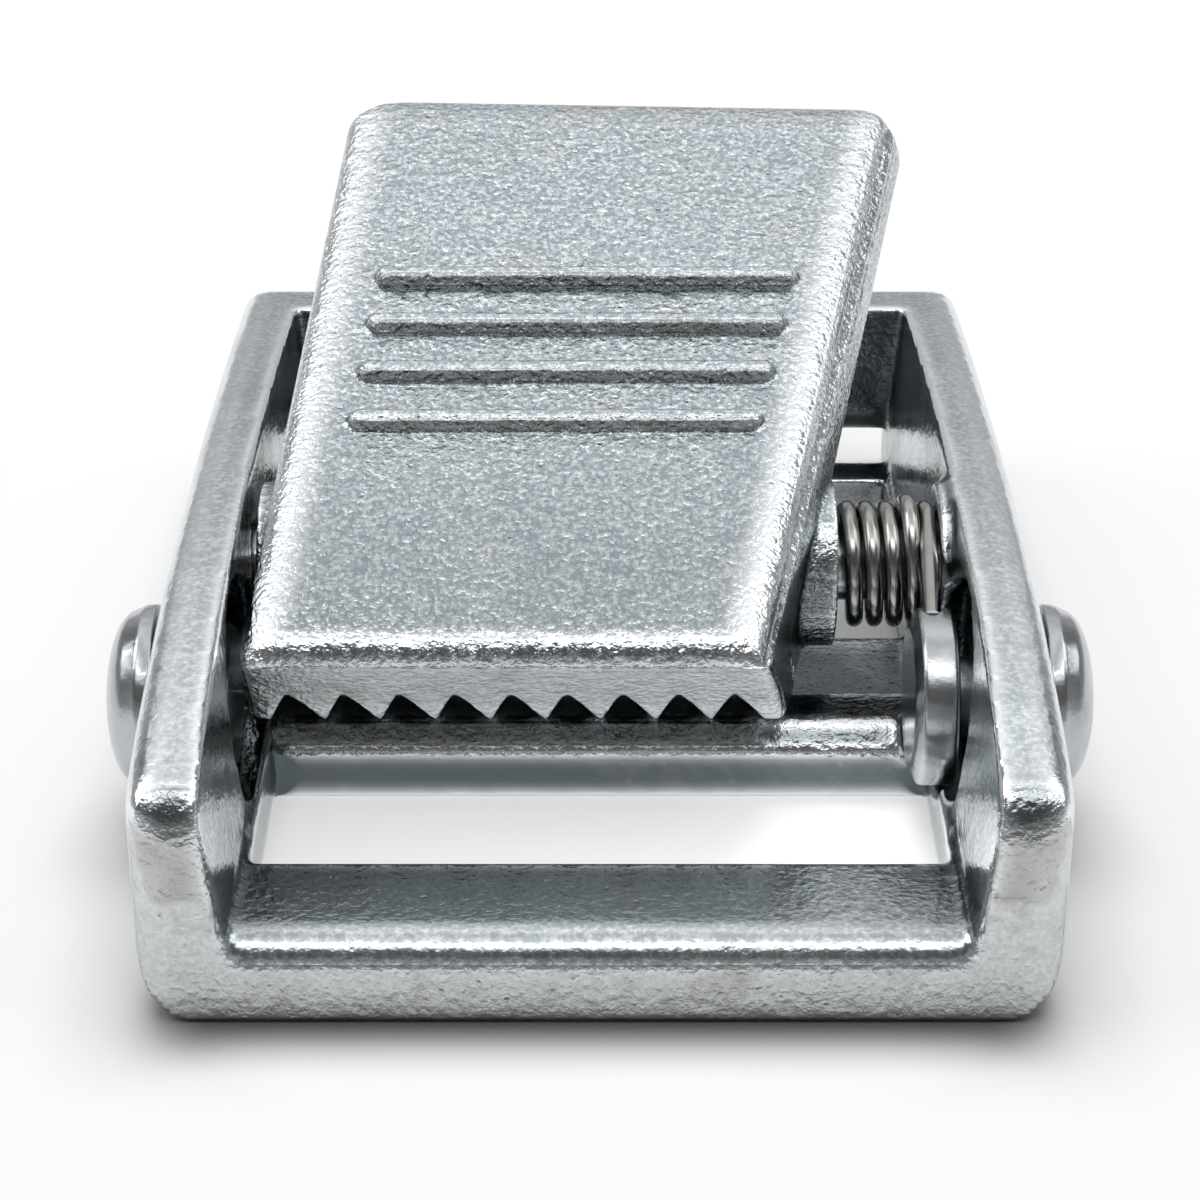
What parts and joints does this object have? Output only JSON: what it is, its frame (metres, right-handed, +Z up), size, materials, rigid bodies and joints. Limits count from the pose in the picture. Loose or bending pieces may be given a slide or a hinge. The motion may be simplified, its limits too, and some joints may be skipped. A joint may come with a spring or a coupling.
{
  "type": "cam buckle",
  "caption": "Die-cast cam buckle: a sprung, toothed lever pivots between the frame's side walls and pinches webbing against a ridged bar.",
  "frame": {"origin": "bottom centre of the frame's bounding box, on the surface the buckle rests on", "axes": "+X along the lever's pivot pin to the buckle's right, +Y from the front bar to the bridge bar at the rear, +Z up through the lever"},
  "size_m": [0.0388, 0.045, 0.0203],
  "materials": {
    "cast_zinc": "bright zinc-plated die casting with a fine cast grain",
    "plated_steel": "smooth plated steel with small pits",
    "spring_steel": "polished dark spring wire"
  },
  "bodies": {
    "frame": {"buckle_frame": "cast_zinc", "pivot_pin": "plated_steel", "rivet_left": "plated_steel", "rivet_right": "plated_steel", "torsion_spring": "spring_steel"},
    "lever": {"cam_lever": "cast_zinc"}
  },
  "joints": [
    {"name": "lever_pivot", "type": "hinge", "parent": "frame", "child": "lever", "pos_m": [0, -0.0015, 0.0075], "axis": [1, 0, 0], "range_deg": [-21, 0], "stiffness_Nm_per_rad": 0.044, "springref_deg": 34.38, "deforming": ["torsion_spring"]}
  ]
}
